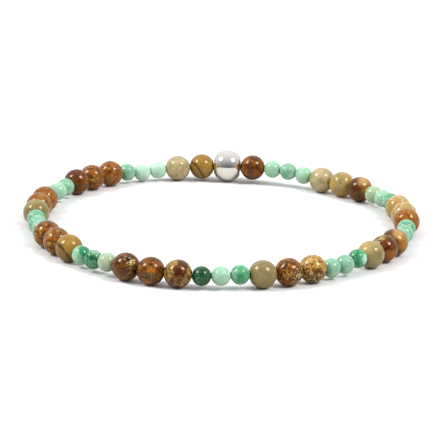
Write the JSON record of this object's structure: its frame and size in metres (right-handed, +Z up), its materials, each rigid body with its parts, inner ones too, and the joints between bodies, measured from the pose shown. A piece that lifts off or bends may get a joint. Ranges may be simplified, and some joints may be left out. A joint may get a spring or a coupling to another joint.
{
  "type": "beaded bracelet",
  "caption": "Stretch bracelet of round jasper beads and smaller jade beads in alternating groups on an elastic cord, with a polished silver bead, lying in a loop.",
  "frame": {"origin": "under the middle of the bracelet's bounding box, at the height of the surface it lies on", "axes": "+Z up, through the loop, across the bracelet's thickness; -Y towards the front jade trio, opposite the silver bead"},
  "size_m": [0.0614, 0.066, 0.0052],
  "materials": {
    "jasper_khaki": "polished plain grey-tan jasper with faint veins",
    "jasper_golden": "polished golden-tan jasper with brown speckles and bands",
    "jasper_rust": "polished rust to dark red-brown jasper with cream and black mottling",
    "jade": "polished, slightly translucent jade, from pale mint to deep green, each bead clouded",
    "silver": "mirror-polished silver",
    "elastic": "smooth clear-white elastic cord"
  },
  "bodies": {
    "root": {"jasper_bead_01": "jasper_khaki", "jasper_bead_02": "jasper_rust", "jasper_bead_03": "jasper_golden", "jasper_bead_04": "jasper_khaki", "jasper_bead_05": "jasper_rust", "jasper_bead_06": "jasper_golden", "jasper_bead_07": "jasper_golden", "jasper_bead_08": "jasper_khaki", "jasper_bead_09": "jasper_golden", "jasper_bead_10": "jasper_golden", "jasper_bead_11": "jasper_khaki", "jasper_bead_12": "jasper_khaki", "jasper_bead_13": "jasper_rust", "jasper_bead_14": "jasper_golden", "jasper_bead_15": "jasper_khaki", "jasper_bead_16": "jasper_golden", "jasper_bead_17": "jasper_rust", "jasper_bead_18": "jasper_rust", "jasper_bead_19": "jasper_golden", "jasper_bead_20": "jasper_khaki", "jasper_bead_21": "jasper_rust", "jasper_bead_22": "jasper_rust", "jasper_bead_23": "jasper_rust", "jasper_bead_24": "jasper_golden", "jasper_bead_25": "jasper_rust", "jasper_bead_26": "jasper_rust", "jasper_bead_27": "jasper_golden", "jade_trio_1": "jade", "jade_trio_2": "jade", "jade_trio_3": "jade", "jade_trio_4": "jade", "jade_trio_5": "jade", "jade_trio_6": "jade", "jade_trio_7": "jade", "jade_trio_8": "jade", "jade_trio_9": "jade", "silver_bead": "silver", "elastic_cord": "elastic"}
  },
  "joints": []
}
